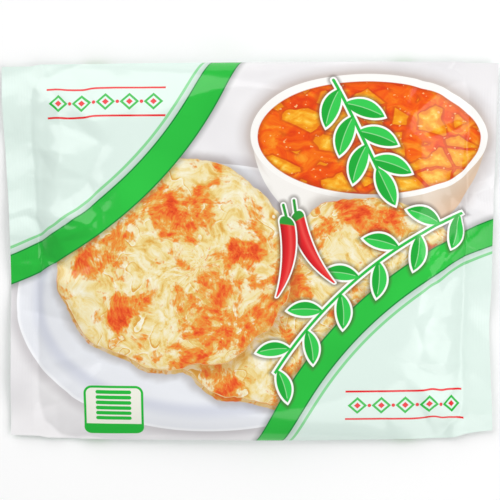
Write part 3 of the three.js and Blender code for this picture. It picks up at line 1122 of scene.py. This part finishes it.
# %% The sprig beside the sweep
SWEEPS = [  # middle across and up, inner radius, outer radius
    (-190.0, 170.0, 185.0, 198.5),
    (186.0, -171.0, 184.5, 196.5),
]
SWEEP_GAP = 9.5  # from the sweep to the stem
STEM_HALF = 0.7
STEM_CUT = {"centre_across": 56.0, "centre_up": -17.0, "half_length": 62.0, "half_height": 40.0}
STEM_CUT |= {"corner": 1.0, "turn": math.radians(47)}
LEAF_COUNT = 11
FIRST_LEAF, LEAF_PITCH = 114.5, 3.4  # degrees round the sweep's middle
LEAF_OUT = 7.0  # from the stem to a leaf's middle
LEAF_LEAN = 0.85  # radians off the stem
LEAF_HALF, LEAF_LOSS = 9.6, 0.12  # each leaf is a little shorter than the last
LEAF_BEND = 0.1


def print_sweep_sprig(s, u, v, colour):
    middle_u, middle_v, _, outer = SWEEPS[1]
    radius = outer + SWEEP_GAP
    stem = s.size_of(s.hypot(u - middle_u, v - middle_v) - radius) - STEM_HALF
    ends = s.use(BAR, across=u, up=v, **STEM_CUT)
    leaves = []
    for i in range(LEAF_COUNT):
        angle = math.radians(FIRST_LEAF + i * LEAF_PITCH)
        side = 1 if i % 2 else -1
        reach = radius + side * LEAF_OUT
        leaf_u = middle_u + reach * math.cos(angle)
        leaf_v = middle_v + reach * math.sin(angle)
        turn = angle + math.pi / 2 - side * LEAF_LEAN
        leaves.append((leaf_u, leaf_v, turn, LEAF_HALF - LEAF_LOSS * i, LEAF_BEND * side))
    return print_leaves(s, u, v, colour, s.highest(stem, ends), leaves)


# %% The sprig over the bowl
SPRIG_TOP, SPRIG_FOOT = (41.0, 86.0), (64.0, 38.0)
SPRIG_STEM_HALF = 0.8
SPRIG_LEAVES = 6
FIRST_SHARE, SHARE_PITCH = 0.12, 0.145  # of the way down the stem
SIDE_LEAF_OUT, SIDE_LEAF_LEAN, SIDE_LEAF_HALF = 10.0, 0.8, 10.6
END_LEAF_OUT, END_LEAF_HALF = 7, 10.5


def print_bowl_sprig(s, u, v, colour):
    (top_u, top_v), (foot_u, foot_v) = SPRIG_TOP, SPRIG_FOOT
    run_u, run_v = foot_u - top_u, foot_v - top_v
    turn = math.atan2(run_v, run_u)
    stem = s.use(
        BAR, across=u, up=v, centre_across=(top_u + foot_u) / 2, centre_up=(top_v + foot_v) / 2,
        half_length=math.hypot(run_u, run_v) / 2, half_height=SPRIG_STEM_HALF,
        corner=SPRIG_STEM_HALF, turn=turn,
    )
    end_u = foot_u + END_LEAF_OUT * math.cos(turn)
    end_v = foot_v + END_LEAF_OUT * math.sin(turn)
    leaves = [(end_u, end_v, turn, END_LEAF_HALF, 0.0)]
    for i in range(SPRIG_LEAVES):
        side = 1 if i % 2 else -1
        share = FIRST_SHARE + i * SHARE_PITCH
        lean = turn + side * SIDE_LEAF_LEAN
        leaf_u = top_u + run_u * share + SIDE_LEAF_OUT * math.cos(lean)
        leaf_v = top_v + run_v * share + SIDE_LEAF_OUT * math.sin(lean)
        leaves.append((leaf_u, leaf_v, lean, SIDE_LEAF_HALF, -LEAF_BEND * side))
    return print_leaves(s, u, v, colour, stem, leaves)


print("leaves on both sprigs:", LEAF_COUNT + SPRIG_LEAVES + 1)

# %% [markdown]
# A chilli is a bent pod whose skin runs from dark through a bright streak to mid red across its
# width, and a green stalk that carries the bend on. The very start of the pod is green as well,
# for the cap that the stalk grows from.

# %% Two chillies
CHILLIES = [(31.0, -1.0, -60.0, 0.16), (17.0, -5.0, -98.0, -0.16)]  # middle, degrees, bend
POD_HALF_LENGTH, POD_HALF_WIDTH = 18.0, 3.7
STALK_OUT = 23.5  # from the pod's middle to the stalk's
STALK_HALF_LENGTH, STALK_HALF_WIDTH = 4.5, 0.7
STALK_LIFT, STALK_LEAN = 1.1, 2.4  # how much of the bend the stalk carries on
SKIN = [(0.1, "b3141c"), (0.45, "e6262a"), (0.62, "f0504a"), (0.8, "e02a2c")]
SKIN_SPAN = 8.0  # across the pod, that the tones cover
CAP_END = 0.02  # of the pod's length
STALK_GREEN = ink("2f9c38")
CHILLI_EDGE = 0.8


def print_chillies(s, u, v, colour):
    for middle_u, middle_v, degrees, bend in CHILLIES:
        turn = math.radians(degrees)
        c, sn = math.cos(turn), math.sin(turn)
        pod, over, share = s.use(
            POD, across=u, up=v, centre_across=middle_u, centre_up=middle_v,
            half_length=POD_HALF_LENGTH, half_width=POD_HALF_WIDTH, turn=turn, bend=bend,
        )
        lift = POD_HALF_LENGTH * bend * STALK_LIFT
        stalk = s.use(
            BAR, across=u, up=v, centre_across=middle_u - STALK_OUT * c - lift * sn,
            centre_up=middle_v - STALK_OUT * sn + lift * c, half_length=STALK_HALF_LENGTH,
            half_height=STALK_HALF_WIDTH, corner=STALK_HALF_WIDTH, turn=turn - STALK_LEAN * bend,
        )
        skin = s.ramp(over / SKIN_SPAN + 0.5, *SKIN)
        skin = s.blend(s.ease(CAP_END, 0.0, share), skin, STALK_GREEN)
        colour = raise_shape(s, colour, s.lowest(pod, stalk), STALK_GREEN, CHILLI_EDGE)
        colour = s.use(LAY, below=colour, ink=skin, distance=pod)
    return colour


print("chillies:", len(CHILLIES), "each about", 2 * POD_HALF_LENGTH, "mm long")

# %% [markdown]
# The bands of diamonds are a plain old border pattern. The distance along the band is folded
# back and forth like a fan, so one diamond drawn once repeats all along.

# %% Bands of diamonds
BAND_MIDDLES = [(-72.0, 74.0), (77.0, -77.0)]
BAND_HALF_LENGTH = 30.0
DIAMOND_PITCH, DIAMOND_HALF = 12.0, 4.4
DIAMOND_SLIM = 0.9  # a diamond is a little longer than it is high
DIAMOND_SCALE = 0.74  # turns its sum of two distances into millimetres from its sides
MINT_INSET, RED_INSET = 1.1, 2.1
DOT_RADIUS, DOT_MARGIN = 0.9, 1.5
LINE_UP, LINE_HALF = 7.2, 0.5


def print_band(s, u, v, colour, middle_u, middle_v):
    inside = s.size_of(u - middle_u) - BAND_HALF_LENGTH
    y = s.size_of(v - middle_v)
    x = s.sum("PINGPONG", u - middle_u, DIAMOND_PITCH / 2)
    diamond = (x * DIAMOND_SLIM + y - DIAMOND_HALF) * DIAMOND_SCALE
    for shape, tone in ((diamond, GREEN), (diamond + MINT_INSET, MINT), (diamond + RED_INSET, RED)):
        colour = s.use(LAY, below=colour, ink=tone, distance=s.highest(shape, inside))
    dots = s.highest(s.hypot(DIAMOND_PITCH / 2 - x, y) - DOT_RADIUS, inside + DOT_MARGIN)
    lines = s.highest(s.size_of(y - LINE_UP) - LINE_HALF, inside)
    return s.use(LAY, below=colour, ink=RED, distance=s.lowest(dots, lines))


print("diamonds in a band:", int(2 * BAND_HALF_LENGTH / DIAMOND_PITCH))

# %% The framed label
LABEL_MIDDLE_U, LABEL_MIDDLE_V = -68.0, -80.0
LABEL_HALF_U, LABEL_HALF_V, LABEL_CORNER = 15.0, 13.0, 4.0
FRAME_HALF = 0.6
FOOT_HEIGHT = 6.0
BAR_COUNT, BAR_PITCH, BAR_HALF_LENGTH, BAR_HALF_HEIGHT = 6, 2.7, 8.0, 0.95
BARS_RISE = 3.0  # of their middle over the label's
LABEL_GROUND = ink("f5f5e8")


def print_label(s, u, v, colour):
    label = s.use(
        BAR, across=u, up=v, centre_across=LABEL_MIDDLE_U, centre_up=LABEL_MIDDLE_V,
        half_length=LABEL_HALF_U, half_height=LABEL_HALF_V, corner=LABEL_CORNER,
    )
    colour = s.use(LAY, below=colour, ink=LABEL_GROUND, distance=label)
    foot = s.highest(label, v - (LABEL_MIDDLE_V - LABEL_HALF_V + FOOT_HEIGHT))
    outline = s.size_of(label + FRAME_HALF) - FRAME_HALF
    colour = s.use(LAY, below=colour, ink=GREEN, distance=s.lowest(foot, outline))
    y = v - (LABEL_MIDDLE_V + BARS_RISE)
    off = s.sum("PINGPONG", y, BAR_PITCH / 2) - BAR_PITCH / 2
    beyond = s.highest(s.size_of(u - LABEL_MIDDLE_U) - BAR_HALF_LENGTH, 0.0)
    inside = s.size_of(y) - BAR_PITCH * BAR_COUNT / 2
    bars = s.highest(s.hypot(beyond, off) - BAR_HALF_HEIGHT, inside)
    return s.use(LAY, below=colour, ink=GREEN, distance=bars)


print("framed label, mm:", 2 * LABEL_HALF_U, "by", 2 * LABEL_HALF_V)

# %% [markdown]
# Each sweep is laid in four steps: a soft shadow on the picture, the green ring, the mint corner
# inside it with a shade along the ring, and thin lines that finish the edges. A slow noise
# makes the green a touch fresher in places, as printed greens are.

# %% Sweeps and corners
FRESHNESS_SIZE = 60.0
SWEEP_TONES = [(0.3, "1fb038"), (0.7, "2ec845")]
EDGE_LINE_HALF, EDGE_LINE_INK = 0.35, ink("138a38")
THIN_LINE_GAP, THIN_LINE_HALF, THIN_LINE_INK = 3.6, 0.7, ink("8bd998")
SWEEP_SHADE = {"reach": 4.0, "strength": 0.5, "shade": ink("4c5a50")}
CORNER_SHADE = {"reach": 5.0, "strength": 0.6, "shade": ink("a3bfae")}


def print_sweep(s, u, v, colour, fresh, sweep):
    middle_u, middle_v, inner, outer = sweep
    radius = s.hypot(u - middle_u, v - middle_v)
    past_outer, past_inner = radius - outer, radius - inner
    colour = s.use(SHADE, below=colour, distance=past_outer, **SWEEP_SHADE)
    colour = s.use(LAY, below=colour, ink=fresh, distance=past_outer)
    mint = s.use(SHADE, below=MINT, distance=inner - radius, **CORNER_SHADE)
    colour = s.use(LAY, below=colour, ink=mint, distance=past_inner)
    edges = s.lowest(s.size_of(past_inner), s.size_of(past_outer)) - EDGE_LINE_HALF
    colour = s.use(LAY, below=colour, ink=EDGE_LINE_INK, distance=edges)
    thin = s.size_of(past_inner + THIN_LINE_GAP) - THIN_LINE_HALF
    return s.use(LAY, below=colour, ink=THIN_LINE_INK, distance=thin)


# %% The whole front
def print_front(s, u, v):
    colour = print_picture(s, u, v)
    colour = print_label(s, u, v, colour)
    fresh = s.ramp(s.noise(s.vector(u, v, 7.0), FRESHNESS_SIZE), *SWEEP_TONES)
    for sweep in SWEEPS:
        colour = print_sweep(s, u, v, colour, fresh, sweep)
    colour = print_sweep_sprig(s, u, v, colour)
    colour = print_bowl_sprig(s, u, v, colour)
    colour = print_chillies(s, u, v, colour)
    for middle_u, middle_v in BAND_MIDDLES:
        colour = print_band(s, u, v, colour, middle_u, middle_v)
    return colour


# %% [markdown]
# The back isn't seen in the picture, so it is finished plainly in the same inks: mint film, a
# green sweep along each end, and a pale panel on each side of the seam. Such a back carries
# small print. Plain bars stand for it: even rows in one panel and a ruled table in the other.

# %% Rows and a table of plain bars
ROW_PITCH = 6.4
ROWS_SHOWN = 6
SMALL_BAR_HALF = 0.8
SMALL_PRINT = ink("86bd94")
UNEVEN_STEP = 0.618  # the fractions of its multiples never fall into a pattern
ROW_HALF_LENGTH, ROW_LOSS, ROW_SHIFT = 50.0, 26.0, 0.3
TABLE_HALF_LENGTH, TABLE_MARGIN, TABLE_DIVIDER, RULE_HALF = 54.0, 4.0, 18.0, 0.2
ENTRY_END, ENTRY_LOSS = 8.0, 30.0  # bars in the left boxes
VALUE_OUT, VALUE_HALF = 16.0, 7.0  # bars in the right boxes


def panel_rows(s, v, middle_v):
    """The number of the row that a point is in, and how far it is off the row's middle."""
    row = s.sum("FLOOR", (v - middle_v) / ROW_PITCH)
    return row, v - middle_v - (row + 0.5) * ROW_PITCH


def small_bars(s, beyond, off, inside):
    bars = s.hypot(s.highest(beyond, 0.0), off) - SMALL_BAR_HALF
    return s.highest(bars, inside)


def print_rows(s, u, v, colour, middle_v):
    row, off = panel_rows(s, v, middle_v)
    end = ROW_HALF_LENGTH - ROW_LOSS * s.sum("FRACT", row * UNEVEN_STEP + ROW_SHIFT)
    inside = s.size_of(v - middle_v) - ROW_PITCH * ROWS_SHOWN / 2
    bars = small_bars(s, s.highest(-ROW_HALF_LENGTH - u, u - end), off, inside)
    return s.use(LAY, below=colour, ink=SMALL_PRINT, distance=bars)


def print_table(s, u, v, colour, middle_v):
    row, off = panel_rows(s, v, middle_v)
    from_middle = s.size_of(v - middle_v) - ROW_PITCH * ROWS_SHOWN / 2
    inside = s.highest(from_middle, s.size_of(u) - TABLE_HALF_LENGTH)
    rule = s.lowest(ROW_PITCH / 2 - s.size_of(off), s.size_of(u - TABLE_DIVIDER)) - RULE_HALF
    rule = s.highest(rule, inside - RULE_HALF)
    colour = s.use(LAY, below=colour, ink=GREEN, distance=rule)
    end = ENTRY_END - ENTRY_LOSS * s.sum("FRACT", row * UNEVEN_STEP)
    left = s.highest(-TABLE_HALF_LENGTH + TABLE_MARGIN - u, u - end)
    right = s.size_of(u - TABLE_DIVIDER - VALUE_OUT) - VALUE_HALF
    bars = small_bars(s, s.lowest(left, right), off, inside)
    return s.use(LAY, below=colour, ink=SMALL_PRINT, distance=bars)


# %% The whole back
BACK_SWEEP_MIDDLE, BACK_SWEEP_RADIUS, BACK_SWEEP_HALF = 210.0, 302.0, 5.0
PANEL_UP = 46.0
PANEL = {"half_length": 62.0, "half_height": 27.0, "corner": 5.0}
PANEL_LINE_HALF = 0.4
PANEL_GROUND = ink("f6faf4")
BACK_SIZE = 70.0
BACK_MINT = [(0.35, "e0f3e9"), (0.65, "e6f7ee")]


def print_back(s, u, v):
    colour = s.ramp(s.noise(s.vector(u, v), BACK_SIZE), *BACK_MINT)
    for side in (-1.0, 1.0):
        radius = s.hypot(u + side * BACK_SWEEP_MIDDLE, v)
        sweep = s.size_of(radius - BACK_SWEEP_RADIUS) - BACK_SWEEP_HALF
        colour = s.use(LAY, below=colour, ink=GREEN, distance=sweep)
        panel = s.use(BAR, across=u, up=v, centre_across=0.0, centre_up=side * PANEL_UP, **PANEL)
        colour = s.use(LAY, below=colour, ink=PANEL_GROUND, distance=panel)
        outline = s.size_of(panel) - PANEL_LINE_HALF
        colour = s.use(LAY, below=colour, ink=GREEN, distance=outline)
    colour = print_rows(s, u, v, colour, PANEL_UP)
    return print_table(s, u, v, colour, -PANEL_UP)


# %% [markdown]
# Printed film is white film with thin ink under a clear gloss. Its colour comes from the print,
# and its shine from one smooth layer on top. Handling leaves the gloss a little uneven, and the
# heated jaws that close the ends leave a row of fine ribs in each fin. Both belong to the
# film, so one group makes them for the front and the back.

# %% The film's surface
FIN_START = PACK_LENGTH / 2 - FIN_WIDTH
FIN_BLUR = 0.8
RIB_PITCH = 1.5
CRINKLE_SIZE = 2.4
HANDLING_SIZE = 18.0
LEAST_ROUGH, HANDLING_ROUGH, FIN_ROUGH = 0.09, 0.07, 0.05


def draw_film_surface(s, across, up, crinkle, ribs):
    place = s.vector(across, up)
    fine = s.noise(place, CRINKLE_SIZE, detail=3.0, roughness=0.6, distortion=0.4) * crinkle
    in_fin = s.ease(FIN_START - FIN_BLUR, FIN_START + FIN_BLUR, s.size_of(across))
    rib = s.sum("SINE", across * (2 * math.pi / RIB_PITCH)) * ribs * in_fin
    handled = s.noise(place, HANDLING_SIZE, detail=3.0, roughness=0.6) * HANDLING_ROUGH
    return fine + rib, LEAST_ROUGH + handled + in_fin * FIN_ROUGH


SURFACE_INPUTS = {"Across": 0.0, "Up": 0.0, "Crinkle": 0.015, "Ribs": 0.006}
SURFACE_OUTPUTS = {"Height": "Float", "Roughness": "Float"}
FILM_SURFACE = make_group("Film Surface", SURFACE_INPUTS, SURFACE_OUTPUTS, draw_film_surface)

# %% [markdown]
# A material joins the three: the UV map says where on the flat film a point is, the print gives
# its colour there, and the film's surface gives its roughness and the height for the bump.

# %% Printed film, front and back
FILM_IOR = 1.48


def film_material(name, print_it):
    material = bpy.data.materials.new(name)
    material.use_nodes = True
    shader = material.node_tree.nodes["Principled BSDF"]
    s = Sketch(material.node_tree)
    place = s.node("ShaderNodeUVMap", uv_map="OFBake")
    across, up, _ = s.parts(Amount(s, place.outputs[0]))
    u = (across - 0.5) * FLAT_LENGTH
    v = (up - 0.5) * FLAT_WIDTH
    height, roughness = s.use(FILM_SURFACE, across=u, up=v)
    s.feed(shader.inputs["Base Color"], print_it(s, u, v))
    s.feed(shader.inputs["Roughness"], roughness)
    bump = s.node("ShaderNodeBump", {"Height": height, "Distance": MM, "Strength": 1.0})
    s.feed(shader.inputs["Normal"], Amount(s, bump.outputs[0]))
    shader.inputs["IOR"].default_value = FILM_IOR
    print("material:", name, len(material.node_tree.nodes), "nodes")
    return material


front_film.data.materials.append(film_material("printed_front", print_front))
back_film.data.materials.append(film_material("printed_back", print_back))

# %% [markdown]
# The pack lies on a plain white table. The table's top is a fifth of a millimetre below the
# pack's own lowest point, so the two don't fight for the same place in the render.

# %% The floor
FLOOR_HALF = 3.0  # metres
FLOOR_HEIGHT = -0.0002  # metres
FLOOR_WHITE = (0.97, 0.97, 0.97, 1)
FLOOR_ROUGHNESS = 0.9

signs = ((-1, -1), (1, -1), (1, 1), (-1, 1))
corners = [(x * FLOOR_HALF, y * FLOOR_HALF, FLOOR_HEIGHT) for x, y in signs]
floor_mesh = bpy.data.meshes.new("floor")
floor_mesh.from_pydata(corners, [], [(0, 1, 2, 3)])
floor = bpy.data.objects.new("floor", floor_mesh)
bpy.context.scene.collection.objects.link(floor)
paper = bpy.data.materials.new("paper")
paper.use_nodes = True
paper_shader = paper.node_tree.nodes["Principled BSDF"]
paper_shader.inputs["Base Color"].default_value = FLOOR_WHITE
paper_shader.inputs["Roughness"].default_value = FLOOR_ROUGHNESS
floor.data.materials.append(paper)
print("floor, m:", 2 * FLOOR_HALF, "square")

# %% [markdown]
# Film shows its creases only by what it mirrors. Three soft boxes stand round the pack, about
# forty degrees up, and each facet that leans towards one catches it. The key comes from the
# upper left and the fill from the lower right. The side box is the smallest. It stands to the
# right, where the film turns down to its fin, so the facets there light up one by one. Large
# dim boxes do this better than small bright ones, which would burn the print out in a low view.

# %% The lights
SOFTBOXES = [  # name, size in metres, place in metres, watts
    ("key", (1.9, 1.9), (-0.8, 1.1, 1.1), 24.2),
    ("fill", (1.6, 1.6), (0.9, -1.1, 1.15), 15),
    ("side", (1.2, 0.8), (0.95, 0.2, 0.9), 5.4),
]
ROOM_LIGHT = 0.265


def softbox(name, size, place, watts):
    light = bpy.data.lights.new(name, "AREA")
    light.shape = "RECTANGLE"
    light.size, light.size_y = size
    light.energy = watts
    lamp = bpy.data.objects.new(name, light)
    lamp.location = place
    lamp.rotation_euler = (-Vector(place)).to_track_quat("-Z", "Y").to_euler()
    bpy.context.scene.collection.objects.link(lamp)
    print("softbox:", name, watts, "W")


for box in SOFTBOXES:
    softbox(*box)

world = bpy.data.worlds.new("studio")
bpy.context.scene.world = world
world.use_nodes = True
world.node_tree.nodes["Background"].inputs["Color"].default_value = (1, 1, 1, 1)
world.node_tree.nodes["Background"].inputs["Strength"].default_value = ROOM_LIGHT
bpy.context.scene.view_settings.view_transform = "Standard"
